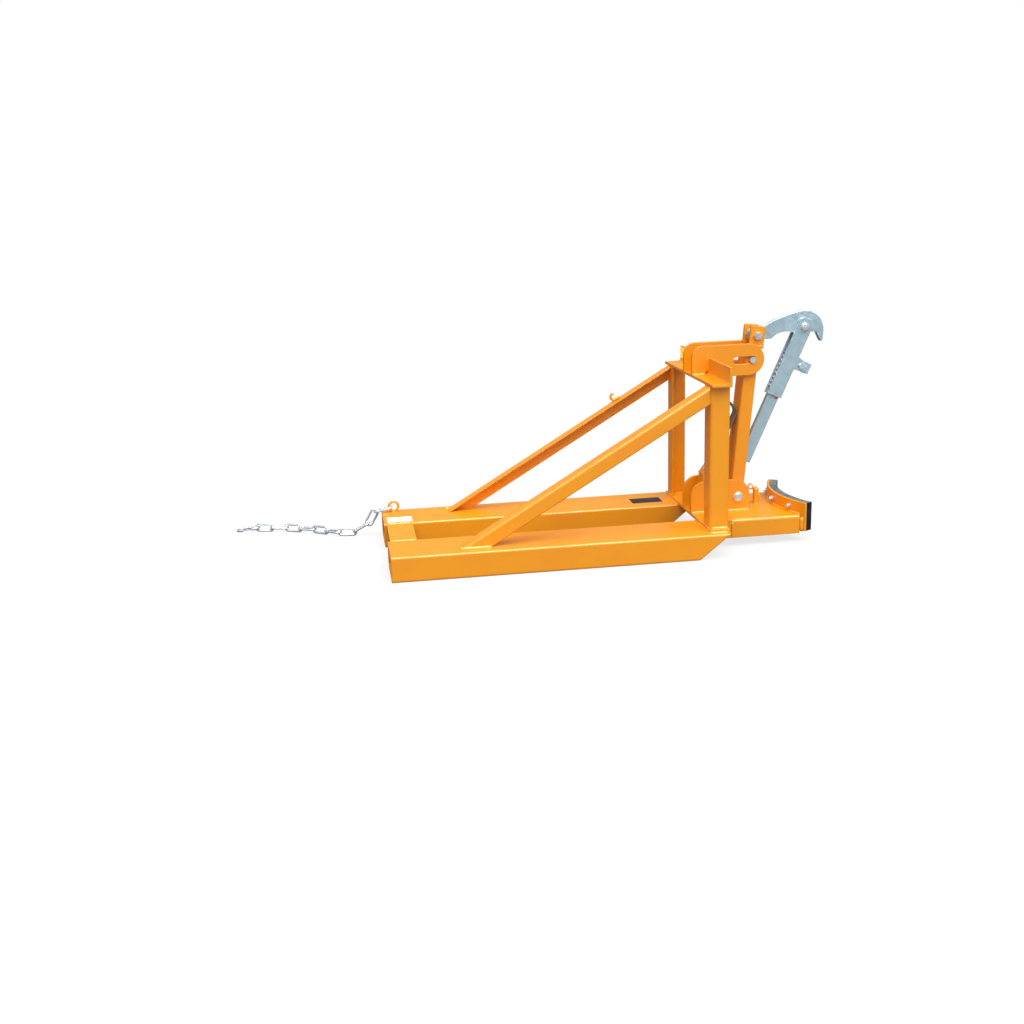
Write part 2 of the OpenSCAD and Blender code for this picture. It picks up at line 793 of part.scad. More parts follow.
module foot_keeper() {
    color(ZINC) in_jaw() rod_y(keeper_r, foot_front - tongue_w / 2, -keeper_u, -jaw_out, jaw_out);
}

// sliding foot: a narrow tongue beside the spring, a shoulder and an end cut to the arm's face
module foot_bar() {
    rear = foot_front - foot_w;
    slot_x = foot_front - tongue_w / 2;
    low = foot_reach(foot_front) - foot_blunt;
    color(ZINC) in_jaw() difference() {
        plate_xz(-foot_half, foot_half) polygon([[foot_front, -tongue_top], [foot_front, -low],
            [foot_front - foot_blunt * foot_w / (foot_reach(foot_front) - foot_reach(rear)), -low],
            [rear, -foot_reach(rear)], [rear, -foot_shoulder], [foot_front - tongue_w, -foot_shoulder],
            [foot_front - tongue_w, -tongue_top]]);
        for (u = [keeper_u, keeper_u + foot_travel])
            rod_y(keeper_r + 0.2, slot_x, -u, -50, 50);
        box(slot_x - keeper_r - 0.2, slot_x + keeper_r + 0.2, -50, 50, -keeper_u - foot_travel, -keeper_u);
    }
}

// one link in its own frame, flat in x and y
module link_shape() {
    straight = link_half - bow_r;
    union() {
        for (s = [-1, 1]) {
            translate([s * straight, 0, 0]) bow(bow_r, link_r, s > 0 ? -90 : 90, 180);
            translate([-straight, s * bow_r, 0]) rotate([0, 90, 0])
                cylinder(r = link_r, h = 2 * straight, $fn = 32);
        }
    }
}

// places the frame of link i: its middle, slope, heading, and a quarter roll on every second one
module at_link(i) {
    translate(near_bow(i) + link_half * heading(i)) rotate([0, 0, link_turn[i]])
        rotate([0, -link_slope[i], 0]) rotate([i % 2 == 0 ? 0 : 90, 0, 0]) children();
}

module chain_link(i) {
    color(ZINC) at_link(i) link_shape();
}

module chain_link_01() { chain_link(0); }
module chain_link_02() { chain_link(1); }
module chain_link_03() { chain_link(2); }
module chain_link_04() { chain_link(3); }
module chain_link_05() { chain_link(4); }
module chain_link_06() { chain_link(5); }
module chain_link_07() { chain_link(6); }
module chain_link_08() { chain_link(7); }
module chain_link_09() { chain_link(8); }
module chain_link_10() { chain_link(9); }

// frame of the snap hook: its first bow holds the last link, and it lies along -x
module at_snap() {
    translate(near_bow(10)) rotate([0, 0, link_turn[10]]) rotate([0, -link_slope[10], 0]) children();
}

snap_a = -snap_bow;
snap_b = snap_a - snap_len + 2 * (snap_bow + snap_r);
gate_x = snap_a - 7;

// body of the snap hook: two bows, a spine, a hinge stub and a nose, open on one side for the gate
module snap_hook() {
    color(ZINC) at_snap() union() {
        translate([snap_a, 0, 0]) bow(snap_bow, snap_r, -90, 180);
        translate([snap_b, 0, 0]) bow(snap_bow, snap_r, 90, 180);
        snap_bar(snap_b, snap_a, snap_bow, snap_r);
        snap_bar(gate_x + gate_eye + gap, snap_a, -snap_bow, snap_r);
        snap_bar(snap_b, snap_b + 7, -snap_bow, snap_r);
        translate([gate_x, -snap_bow, -snap_r]) cylinder(r = snap_pin, h = 2 * snap_r);
        for (s = [-1, 1])
            translate([gate_x, -snap_bow, s * (snap_r - 0.75) - 0.75]) difference() {
                translate([0, -2, 0]) cube([gate_eye + 2, 4, 1.5]);
                cylinder(r = snap_pin, h = 1.5);
            }
    }
}

// straight bar along x of the snap hook
module snap_bar(x0, x1, y, r) {
    translate([x0, y, 0]) rotate([0, 90, 0]) cylinder(r = r, h = x1 - x0, $fn = 32);
}

module snap_gate() {
    half = snap_r - 1.5 - gap;
    color(ZINC) at_snap() difference() {
        union() {
            snap_bar(snap_b + 7 + gap, gate_x - 2, -snap_bow, half - gap);
            translate([gate_x, -snap_bow, -half]) cylinder(r = gate_eye - gap, h = 2 * half);
        }
        translate([gate_x, -snap_bow, -snap_r]) cylinder(r = snap_pin + fit, h = 2 * snap_r);
    }
}

fork_pocket_right();
fork_pocket_left();
rear_cross_plate();
base_plate();
front_beam();
saddle_platform();
saddle_plate();
saddle_pad();
saddle_bolts();
post_right();
post_left();
brace_right();
brace_left();
top_angle();
guide_plate_right();
guide_plate_left();
pivot_cheek_right();
pivot_cheek_left();
arm_pivot_bolt();
spring_bracket();
leaf_root();
spring_bolt();
chain_eye();
chain_hook();
peg();
arm_tube();
arm_bush();
arm_cap();
arm_ear_right();
arm_ear_left();
guide_pin();
hook_bolt();
hook_spacers();
hook_plate();
jaw_bolt();
jaw_channel();
jaw_shoe();
shoe_bolt();
spring_stop();
coil_spring();
foot_keeper();
foot_bar();
leaf_spring();
spring_clip();
chain_link_01();
chain_link_02();
chain_link_03();
chain_link_04();
chain_link_05();
chain_link_06();
chain_link_07();
chain_link_08();
chain_link_09();
chain_link_10();
snap_hook();
snap_gate();
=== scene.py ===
"""Dresses the drum lifter: finishes, weld beads, springs, bare films and a plain studio."""

import json
import logging
import math
from dataclasses import dataclass, replace
from enum import Enum
from typing import Any, ClassVar, Iterable, Sequence

import bmesh
import bpy
from mathutils import Matrix, Vector

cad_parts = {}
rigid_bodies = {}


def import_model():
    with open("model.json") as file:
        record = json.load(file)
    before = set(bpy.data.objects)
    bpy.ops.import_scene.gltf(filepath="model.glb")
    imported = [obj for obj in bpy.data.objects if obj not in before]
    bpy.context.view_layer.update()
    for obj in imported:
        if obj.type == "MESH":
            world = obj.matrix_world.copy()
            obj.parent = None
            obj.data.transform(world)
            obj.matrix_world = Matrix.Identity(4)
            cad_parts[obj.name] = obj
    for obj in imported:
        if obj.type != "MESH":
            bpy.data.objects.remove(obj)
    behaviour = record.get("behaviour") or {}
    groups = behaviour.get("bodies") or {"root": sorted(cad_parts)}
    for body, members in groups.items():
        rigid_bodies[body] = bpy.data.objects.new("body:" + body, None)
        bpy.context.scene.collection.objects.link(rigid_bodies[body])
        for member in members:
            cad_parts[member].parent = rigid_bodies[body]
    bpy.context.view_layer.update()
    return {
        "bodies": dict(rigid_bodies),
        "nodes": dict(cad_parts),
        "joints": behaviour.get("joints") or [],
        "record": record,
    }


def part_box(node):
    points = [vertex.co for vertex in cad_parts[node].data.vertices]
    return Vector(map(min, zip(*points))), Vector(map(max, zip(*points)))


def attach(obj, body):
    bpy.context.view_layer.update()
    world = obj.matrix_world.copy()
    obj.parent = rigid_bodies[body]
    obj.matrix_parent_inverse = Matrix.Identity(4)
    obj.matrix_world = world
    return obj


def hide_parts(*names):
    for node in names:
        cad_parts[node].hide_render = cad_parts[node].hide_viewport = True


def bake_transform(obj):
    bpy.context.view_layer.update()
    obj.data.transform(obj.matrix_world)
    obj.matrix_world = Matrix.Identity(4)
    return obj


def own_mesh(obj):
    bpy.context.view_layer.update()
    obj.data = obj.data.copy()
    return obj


LOG = logging.getLogger("drum_lifter")
MM = 0.001
RUB_DOWN = 37 * MM
RUB_ASIDE = 9 * MM

Triple = tuple[float, float, float]
Span = tuple[float, float]
Socket = bpy.types.NodeSocket


class Slot(Enum):
    """The record's material slots."""

    PAINT = "orange_paint"
    GALVANISED = "galvanised"
    ZINC = "bright_zinc"
    SPRING = "spring_steel"
    RUBBER = "rubber"


class Body(Enum):
    """The bodies that new pieces ride on."""

    FRAME = "frame"
    ARM = "arm"
    JAW = "jaw"
    LEAF = "leaf"


class Side(Enum):
    """The lifter's two sides and the way each lies from the middle plane."""

    RIGHT = -1
    LEFT = 1

    def node(self, stem: str) -> str:
        """Names the node of a pair that lies on this side."""
        return stem + "_" + self.name.lower()

    def outer(self, low: Vector, high: Vector) -> float:
        """Gives the far edge of a box across the lifter."""
        return low.y if self is Side.RIGHT else high.y

    def inner(self, low: Vector, high: Vector) -> float:
        """Gives the edge of a box that lies nearer to the middle plane."""
        return high.y if self is Side.RIGHT else low.y


def linear(red: int, green: int, blue: int) -> Triple:
    """Turns a colour as a screen shows it into the linear one that shaders use.

    Args:
        red: Red from 0 to 255.
        green: Green from 0 to 255.
        blue: Blue from 0 to 255.

    Returns:
        The three linear values.
    """
    parts = [value / 255 for value in (red, green, blue)]
    return tuple(p / 12.92 if p <= 0.04045 else ((p + 0.055) / 1.055) ** 2.4 for p in parts)


def joint_of(frame: dict[str, Any], name: str) -> dict[str, Any]:
    """Finds a joint of the frame by its name."""
    return next(joint for joint in frame["joints"] if joint["name"] == name)


def line(*points: Triple) -> list[Vector]:
    """Makes a path from points."""
    return [Vector(point) for point in points]


class Graph:
    """Adds nodes to one shader tree and links them."""

    def __init__(self, tree: bpy.types.NodeTree) -> None:
        """Keeps the tree that is built on."""
        self.tree = tree

    def put(self, socket: Socket, value: Any) -> None:
        """Feeds an input from an output, or sets its own value.

        Args:
            socket: The input.
            value: An output socket, a colour or a plain value.
        """
        if isinstance(value, Socket):
            self.tree.links.new(value, socket)
        elif socket.type == "RGBA":
            socket.default_value = (*value, 1.0)
        else:
            socket.default_value = value

    def add(self, kind: str, settings: dict[str, Any] | None = None, **sockets: Any
            ) -> bpy.types.Node:
        """Adds a node.

        Args:
            kind: The node's type without its ShaderNode prefix.
            settings: Properties of the node.
            **sockets: Values or output sockets for its inputs; an underscore stands for a space,
                and in_0, in_1 name an input by its number.

        Returns:
            The new node.
        """
        node = self.tree.nodes.new("ShaderNode" + kind)
        for key, value in (settings or {}).items():
            setattr(node, key, value)
        for key, value in sockets.items():
            numbered = key.startswith("in_")
            place = int(key.removeprefix("in_")) if numbered else key.replace("_", " ")
            self.put(node.inputs[place], value)
        return node

    def noise(self, where: Socket, scale: Any, detail: float) -> Socket:
        """Adds a noise texture.

        Args:
            where: The coordinates it reads.
            scale: Its scale per metre, a value or a socket.
            detail: How many octaves it has.

        Returns:
            The noise's value.
        """
        return self.add("TexNoise", Vector=where, Scale=scale, Detail=detail).outputs["Fac"]

    def maths(self, what: str, first: Any, second: Any) -> Socket:
        """Adds a maths node and gives its result."""
        return self.add("Math", {"operation": what}, in_0=first, in_1=second).outputs[0]

    def ramp(self, value: Socket, low: Any, high: Any, to: Span = (0.0, 1.0)) -> Socket:
        """Maps a value smoothly from one range to another.

        Args:
            value: What is mapped.
            low: Start of its range.
            high: End of its range.
            to: The range it is mapped to.

        Returns:
            The mapped value.
        """
        node = self.add("MapRange", {"interpolation_type": "SMOOTHSTEP"}, Value=value,
                        From_Min=low, From_Max=high, To_Min=to[0], To_Max=to[1])
        return node.outputs["Result"]

    def between(self, mask: Socket, start: float, end: float) -> Socket:
        """Goes from one value to another as a mask goes from none to full."""
        return self.ramp(mask, 0.0, 1.0, (start, end))

    def mix(self, mask: Any, first: Any, second: Any) -> Socket:
        """Mixes two colours by a mask and gives the mixed one."""
        return self.add("Mix", {"data_type": "RGBA"}, in_0=mask, in_6=first, in_7=second).outputs[2]

    def grey(self, level: Socket) -> Socket:
        """Makes a grey of a level."""
        return self.add("CombineColor", Red=level, Green=level, Blue=level).outputs["Color"]

    def vector(self, what: str, first: Any, **sockets: Any) -> Socket:
        """Adds a vector maths node and gives its plain value."""
        node = self.add("VectorMath", {"operation": what}, in_0=first, **sockets)
        return node.outputs["Value"]

    def coordinates(self) -> Socket:
        """Gives the object's own coordinates."""
        return self.add("TexCoord").outputs["Object"]


@dataclass(frozen=True)
class EffectGroups:
    """Shader groups that several finishes share."""

    wear: bpy.types.NodeTree
    mottle: bpy.types.NodeTree
    soft_edge: bpy.types.NodeTree
    upward_patches: bpy.types.NodeTree
    spot: bpy.types.NodeTree

    wear_samples: ClassVar[int] = 4
    edge_samples: ClassVar[int] = 6
    rubbed_turn: ClassVar[Span] = (0.93, 0.76)
    rolled_turn: ClassVar[Span] = (0.98, 0.86)
    speck_span: ClassVar[Span] = (0.75, 0.95)
    blotch_span: ClassVar[Span] = (0.42, 0.72)
    level_span: ClassVar[Span] = (0.5, 0.95)
    patch_span: ClassVar[Span] = (0.1, 0.6)
    rag_scale: ClassVar[float] = 260.0
    rag_span: ClassVar[Span] = (0.45, 0.6)

    @classmethod
    def build(cls) -> "EffectGroups":
        """Builds every group once."""
        return cls(cls._wear(), cls._mottle(), cls._soft_edge(), cls._upward_patches(), cls._spot())

    @staticmethod
    def _start(name: str, inputs: Iterable[tuple[str, float]], outputs: Iterable[str],
               kind: str = "NodeSocketFloat") -> tuple[Graph, Any, Any]:
        """Starts a group.

        Args:
            name: The group's name.
            inputs: Names and default values of its float inputs.
            outputs: Names of its outputs.
            kind: Socket type of its outputs.

        Returns:
            A graph on the group, the outputs of its input node and the inputs of its output node.
        """
        tree = bpy.data.node_groups.new(name, "ShaderNodeTree")
        for label, value in inputs:
            socket = tree.interface.new_socket(label, in_out="INPUT", socket_type="NodeSocketFloat")
            socket.default_value = value
        for label in outputs:
            tree.interface.new_socket(label, in_out="OUTPUT", socket_type=kind)
        given, result = tree.nodes.new("NodeGroupInput"), tree.nodes.new("NodeGroupOutput")
        return Graph(tree), given.outputs, result.inputs

    @classmethod
    def _wear(cls) -> bpy.types.NodeTree:
        """Masks of corners, where the surface turns within a short distance, whole and rubbed."""
        graph, given, result = cls._start(
            "edge_wear", [("Width", 0.002), ("Grain", 120.0), ("Amount", 0.5)], ["Mask", "Corner"])
        rounded = graph.add("Bevel", {"samples": cls.wear_samples}, Radius=given["Width"])
        flat = graph.add("NewGeometry").outputs["Normal"]
        turn = graph.vector("DOT_PRODUCT", rounded.outputs["Normal"], in_1=flat)
        speck = graph.noise(graph.coordinates(), given["Grain"], detail=5.0)
        half = graph.maths("MULTIPLY", given["Amount"], 0.5)
        low, high = (graph.maths("SUBTRACT", end, half) for end in cls.speck_span)
        edge, broken = graph.ramp(turn, *cls.rubbed_turn), graph.ramp(speck, low, high)
        graph.put(result["Mask"], graph.maths("MULTIPLY", edge, broken))
        graph.put(result["Corner"], graph.ramp(turn, *cls.rolled_turn))
        return graph.tree

    @classmethod
    def _mottle(cls) -> bpy.types.NodeTree:
        """Slow blotches for dirt and roughness, and a fine grain for relief."""
        graph, given, result = cls._start("mottle", [("Blotch", 9.0), ("Grain", 420.0)],
                                          ["Dirt", "Fine"])
        where = graph.coordinates()
        slow = graph.noise(where, given["Blotch"], detail=6.0)
        graph.put(result["Dirt"], graph.ramp(slow, *cls.blotch_span))
        graph.put(result["Fine"], graph.noise(where, given["Grain"], detail=3.0))
        return graph.tree

    @classmethod
    def _soft_edge(cls) -> bpy.types.NodeTree:
        """Normal that rolls over sharp corners."""
        graph, given, result = cls._start("soft_edge", [("Radius", 0.0012)], ["Normal"],
                                          "NodeSocketVector")
        rolled = graph.add("Bevel", {"samples": cls.edge_samples}, Radius=given["Radius"])
        graph.put(result["Normal"], rolled.outputs["Normal"])
        return graph.tree

    @classmethod
    def _upward_patches(cls) -> bpy.types.NodeTree:
        """Mask of patches on faces that look up, for dust and for painted light from above."""
        graph, given, result = cls._start("upward_patch_mask", [("Grain", 60.0)], ["Mask"])
        normal = graph.add("NewGeometry").outputs["Normal"]
        facing = graph.add("SeparateXYZ", Vector=normal).outputs["Z"]
        patchy = graph.noise(graph.coordinates(), given["Grain"], detail=5.0)
        mask = graph.maths("MULTIPLY", graph.ramp(facing, *cls.level_span),
                           graph.ramp(patchy, *cls.patch_span))
        graph.put(result["Mask"], mask)
        return graph.tree

    @classmethod
    def _spot(cls) -> bpy.types.NodeTree:
        """Mask of a ragged stain round a point."""
        graph, given, result = cls._start(
            "ragged_spot", [("X", 0.0), ("Y", 0.0), ("Z", 0.0), ("Radius", 0.02)], ["Mask"])
        where = graph.coordinates()
        middle = graph.add("CombineXYZ", X=given["X"], Y=given["Y"], Z=given["Z"])
        away = graph.vector("DISTANCE", where, in_1=middle.outputs["Vector"])
        inside = graph.ramp(away, given["Radius"], graph.maths("MULTIPLY", given["Radius"], 0.5))
        ragged = graph.ramp(graph.noise(where, cls.rag_scale, detail=3.0), *cls.rag_span)
        graph.put(result["Mask"], graph.maths("MULTIPLY", inside, ragged))
        return graph.tree


class Finish:
    """Common start of every finish: a material with its shader and the shared effects."""

    def __init__(self, name: str, effects: EffectGroups, edge: float) -> None:
        """Makes the material.

        Args:
            name: The material's name.
            effects: The shared groups.
            edge: Radius in metres over which corners look rolled.
        """
        self.material = bpy.data.materials.new(name)
        self.material.use_nodes = True
        self.graph = Graph(self.material.node_tree)
        self.shader = self.material.node_tree.nodes["Principled BSDF"]
        self.rolled = self.effect(effects.soft_edge, Radius=edge)["Normal"]

    def effect(self, tree: bpy.types.NodeTree, **values: Any) -> Any:
        """Places a shared group with its own values and gives its outputs."""
        return self.graph.add("Group", {"node_tree": tree}, **values).outputs

    def feed(self, **sockets: Any) -> None:
        """Sets or links inputs of the shader."""
        for key, value in sockets.items():
            self.graph.put(self.shader.inputs[key.replace("_", " ")], value)

    def relief(self, height: Socket, strength: float, distance: float) -> None:
        """Adds relief on top of the rolled corners.

        Args:
            height: What the relief follows.
            strength: How strong it is.
            distance: Its depth in metres.
        """
        bump = self.graph.add("Bump", Height=height, Strength=strength, Distance=distance,
                              Normal=self.rolled)
        self.feed(Normal=bump.outputs["Normal"])


@dataclass(frozen=True)
class Enamel:
    """Sprayed enamel over steel, a little uneven, and rubbed and smoother on its corners."""

    name: str
    colour: Triple
    shade: Triple
    bare: Triple = linear(160, 118, 84)
    uneven: float = 0.4
    rough: float = 0.3
    rougher: float = 0.1
    corner_rough: float = 0.7
    gloss: float = 0.7
    wear: float = 0.12
    wear_width: float = 1.6 * MM
    wear_grain: float = 95.0
    blotch: float = 6.0
    grain: float = 900.0
    edge: float = 2.6 * MM
    relief: Span = (0.1, 0.25 * MM)

    def build(self, effects: EffectGroups) -> bpy.types.Material:
        """Builds the material."""
        finish = Finish(self.name, effects, self.edge)
        graph = finish.graph
        mottle = finish.effect(effects.mottle, Blotch=self.blotch, Grain=self.grain)
        wear = finish.effect(effects.wear, Width=self.wear_width, Grain=self.wear_grain,
                             Amount=self.wear)["Mask"]
        corner = finish.effect(effects.wear, Width=self.edge)["Corner"]
        shaded = graph.maths("MULTIPLY", mottle["Dirt"], self.uneven)
        paint = graph.mix(shaded, self.colour, self.shade)
        smooth = graph.between(corner, 1.0, self.corner_rough)
        rough = graph.between(mottle["Dirt"], self.rough, self.rough + self.rougher)
        finish.feed(Base_Color=graph.mix(wear, paint, self.bare), Specular_IOR_Level=self.gloss,
                    Roughness=graph.maths("MULTIPLY", smooth, rough))
        finish.relief(mottle["Fine"], *self.relief)
        return finish.material


@dataclass(frozen=True)
class Galvanised:
    """Dull zinc with faint crystals, dark marks, a painted highlight on its corners and tops, and a
    reddish rub.
    """

    name: str
    colour: Triple
    dark: Triple
    bright: Triple
    rubbed: Vector
    red: Triple = linear(196, 92, 74)
    rub_reach: float = 15 * MM
    rub_share: float = 0.7
    mark_share: float = 0.25
    # Share of the painted highlight that lightens corners and up-facing faces.
    painted_highlight_share: float = 0.6
    spangle: float = 150.0
    spangle_share: float = 0.1
    rough: float = 0.4
    smoother: float = 0.06
    rougher: float = 0.1
    metallic: float = 0.7
    top_metallic: float = 0.3
    # At this amount the wear mask fills whole corners, which carry the painted highlight.
    wear: float = 1.4
    wear_width: float = 1.8 * MM
    wear_grain: float = 40.0
    top_grain: float = 20.0
    blotch: float = 16.0
    grain: float = 700.0
    edge: float = 1.6 * MM
    relief: Span = (0.15, 0.2 * MM)

    def build(self, effects: EffectGroups) -> bpy.types.Material:
        """Builds the material."""
        finish = Finish(self.name, effects, self.edge)
        graph = finish.graph
        mottle = finish.effect(effects.mottle, Blotch=self.blotch, Grain=self.grain)
        wear = finish.effect(effects.wear, Width=self.wear_width, Grain=self.wear_grain,
                             Amount=self.wear)["Mask"]
        # Up-facing patches take a painted highlight from above: lighter colour and less metallic.
        upward = finish.effect(effects.upward_patches, Grain=self.top_grain)["Mask"]
        rub = finish.effect(effects.spot, X=self.rubbed.x, Y=self.rubbed.y, Z=self.rubbed.z,
                            Radius=self.rub_reach)["Mask"]
        crystal = graph.add("TexVoronoi", Vector=graph.coordinates(), Scale=self.spangle)
        tone = graph.add("SeparateColor", Color=crystal.outputs["Color"]).outputs[0]
        sparkle = graph.maths("MULTIPLY", tone, self.spangle_share)
        coat = graph.mix(sparkle, self.colour, self.bright)
        marks = graph.maths("MULTIPLY", mottle["Dirt"], self.mark_share)
        redness = graph.maths("MULTIPLY", rub, self.rub_share)
        reddened = graph.mix(redness, graph.mix(marks, coat, self.dark), self.red)
        # Painted highlight: corners and up-facing faces are mixed towards the bright colour.
        painted_highlight = graph.maths("MULTIPLY", graph.maths("MAXIMUM", wear, upward), self.painted_highlight_share)
        finish.feed(Base_Color=graph.mix(painted_highlight, reddened, self.bright),
                    Metallic=graph.between(upward, self.metallic, self.top_metallic),
                    Roughness=graph.between(tone, self.rough - self.smoother,
                                            self.rough + self.rougher))
        finish.relief(mottle["Fine"], *self.relief)
        return finish.material


@dataclass(frozen=True)
class Rolled:
    """Bare or plated steel with fine lines along the way it was drawn."""

    name: str
    colour: Triple
    dark: Triple
    lines: Triple
    line_scale: float = 60.0
    line_span: Span = (0.3, 0.7)
    bright: Triple = (0.9, 0.9, 0.9)
    stain_share: float = 0.5
    rough: float = 0.26
    smoother: float = 0.07
    rougher: float = 0.12
    metallic: float = 0.95
    wear: float = 0.8
    wear_share: float = 0.5
    wear_width: float = 1.0 * MM
    wear_grain: float = 300.0
    blotch: float = 30.0
    grain: float = 1500.0
    edge: float = 0.7 * MM
    relief: Span = (0.15, 0.1 * MM)

    def build(self, effects: EffectGroups) -> bpy.types.Material:
        """Builds the material."""
        finish = Finish(self.name, effects, self.edge)
        graph = finish.graph
        mottle = finish.effect(effects.mottle, Blotch=self.blotch, Grain=self.grain)
        wear = finish.effect(effects.wear, Width=self.wear_width, Grain=self.wear_grain,
                             Amount=self.wear)["Mask"]
        stretched = graph.add("Mapping", Vector=graph.coordinates(), Scale=self.lines)
        drawn = graph.noise(stretched.outputs["Vector"], self.line_scale, detail=3.0)
        stain = graph.maths("MULTIPLY", mottle["Dirt"], self.stain_share)
        stained = graph.mix(stain, self.colour, self.dark)
        polish = graph.maths("MULTIPLY", wear, self.wear_share)
        finish.feed(Base_Color=graph.mix(polish, stained, self.bright), Metallic=self.metallic,
                    Roughness=graph.ramp(drawn, *self.line_span, (self.rough - self.smoother,
                                                                  self.rough + self.rougher)))
        finish.relief(drawn, *self.relief)
        return finish.material


@dataclass(frozen=True)
class Moulded:
    """Black rubber with a fine grain, chalky corners, and dust with a painted sky reflection on
    top.
    """

    name: str
    colour: Triple
    chalk_and_sheen: Triple
    dirt_share: float = 0.08
    rough: float = 0.65
    rougher: float = 0.2
    gloss: float = 0.2
    wear: float = 0.7
    wear_share: float = 0.3
    wear_width: float = 3.0 * MM
    wear_grain: float = 80.0
    top_grain: float = 45.0
    blotch: float = 22.0
    grain: float = 1200.0
    edge: float = 2.0 * MM
    relief: Span = (0.35, 0.25 * MM)

    def build(self, effects: EffectGroups) -> bpy.types.Material:
        """Builds the material."""
        finish = Finish(self.name, effects, self.edge)
        graph = finish.graph
        mottle = finish.effect(effects.mottle, Blotch=self.blotch, Grain=self.grain)
        wear = finish.effect(effects.wear, Width=self.wear_width, Grain=self.wear_grain,
                             Amount=self.wear)["Mask"]
        # Up-facing patches are dust plus a painted reflection of the bright sky on the top faces.
        dust_and_sheen = finish.effect(effects.upward_patches, Grain=self.top_grain)["Mask"]
        pale = graph.maths("MAXIMUM", graph.maths("MULTIPLY", wear, self.wear_share), dust_and_sheen)
        dirt = graph.maths("MULTIPLY", mottle["Dirt"], self.dirt_share)
        dusty = graph.mix(dirt, self.colour, self.chalk_and_sheen)
        finish.feed(Base_Color=graph.mix(pale, dusty, self.chalk_and_sheen), Specular_IOR_Level=self.gloss,
                    Roughness=graph.between(mottle["Dirt"], self.rough, self.rough + self.rougher))
        finish.relief(mottle["Fine"], *self.relief)
        return finish.material


@dataclass(frozen=True)
class Film:
    """Plain film or plate with scuffed edges, left bare of any print."""

    name: str
    colour: Triple
    dirt: Triple
    dirt_share: float = 0.35
    rough: float = 0.4
    rougher: float = 0.2
    glow: float = 0.0
    wear: float = 0.7
    wear_width: float = 2.0 * MM
    wear_grain: float = 200.0
    blotch: float = 45.0
    grain: float = 900.0
    edge: float = 0.4 * MM
    relief: Span = (0.08, 0.1 * MM)

    def build(self, effects: EffectGroups) -> bpy.types.Material:
        """Builds the material; a film with glow gives off a little light of its own, painted light
        that keeps it bright.
        """
        finish = Finish(self.name, effects, self.edge)
        graph = finish.graph
        mottle = finish.effect(effects.mottle, Blotch=self.blotch, Grain=self.grain)
        worn = finish.effect(effects.wear, Width=self.wear_width, Grain=self.wear_grain,
                             Amount=self.wear)["Mask"]
        dirt = graph.maths("MULTIPLY", mottle["Dirt"], self.dirt_share)
        mask = graph.maths("MAXIMUM", dirt, worn)
        # The emission is painted light: the film glows though it is no lamp.
        finish.feed(Base_Color=graph.mix(mask, self.colour, self.dirt),
                    Emission_Color=self.colour, Emission_Strength=self.glow,
                    Roughness=graph.between(mottle["Dirt"], self.rough, self.rough + self.rougher))
        finish.relief(mottle["Fine"], *self.relief)
        return finish.material


class Finishes:
    """All finishes of the lifter."""

    ORANGE = linear(231, 149, 14)
    DEEP_ORANGE = linear(222, 130, 10)
    ACROSS = (40.0, 1.0, 40.0)
    ALONG = (1.0, 30.0, 1.0)
    FOLDED = ("fork_pocket", "brace", "post")
    FOLDED_EDGE = 6.0 * MM

    def __init__(self, rubbed: Vector) -> None:
        """Builds each finish once.

        Args:
            rubbed: Where the foot has rubbed the jaw's end.
        """
        effects = EffectGroups.build()
        orange = Enamel("orange_enamel", self.ORANGE, self.DEEP_ORANGE)
        self.enamel = orange.build(effects)
        self.folded = replace(orange, name="folded_enamel", edge=self.FOLDED_EDGE).build(effects)
        self.weld = Enamel("enamelled_weld", linear(236, 158, 24), self.ORANGE, wear=0.0, gloss=0.8,
                           rough=0.26).build(effects)
        # Its bright colour serves both the crystals and the painted highlight on corners and tops.
        self.galvanised = Galvanised("galvanised_steel", linear(178, 208, 221),
                                     linear(140, 159, 170), linear(244, 249, 251), rubbed
                                     ).build(effects)
        self.zinc = Rolled("bright_zinc", linear(222, 230, 238), linear(168, 174, 180), self.ACROSS,
                           metallic=0.7).build(effects)
        # The spring-steel coil is near-white enamel: a painted highlight for the glints its wire
        # shows in the shaded jaw.
        self.glint_painted_coil = Enamel("coil_wire", linear(246, 248, 250), linear(226, 230, 232), wear=0.0,
                           edge=0.3 * MM).build(effects)
        self.spring = Rolled("spring_steel", linear(150, 142, 132), linear(104, 92, 80), self.ALONG,
                             rough=0.3).build(effects)
        self.rubber = Moulded("black_rubber", linear(20, 19, 21), linear(112, 117, 118)
                              ).build(effects)
        self.black_film = Film("black_film", linear(22, 22, 24), linear(70, 62, 54)).build(effects)
        # The white and yellow films glow a little: painted light that keeps them bright in shade.
        self.white_film = Film("white_film", linear(250, 250, 247), linear(240, 226, 204),
                               glow=0.25).build(effects)
        self.yellow_film = Film("yellow_film", linear(250, 214, 40), linear(190, 150, 40),
                                glow=0.4).build(effects)
        self.by_slot = {Slot.PAINT.value: self.enamel, Slot.GALVANISED.value: self.galvanised,
                        Slot.ZINC.value: self.zinc, Slot.SPRING.value: self.spring,
                        Slot.RUBBER.value: self.rubber}

    def dress_nodes(self, frame: dict[str, Any]) -> None:
        """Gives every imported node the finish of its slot; folded sections have wider corners.
        """
        slots = {part["node"]: part["material_slot"] for part in frame["record"]["subparts"]}
        for name, node in frame["nodes"].items():
            folded = name.startswith(self.FOLDED)
            node.data.materials.clear()
            node.data.materials.append(self.folded if folded else self.by_slot[slots[name]])


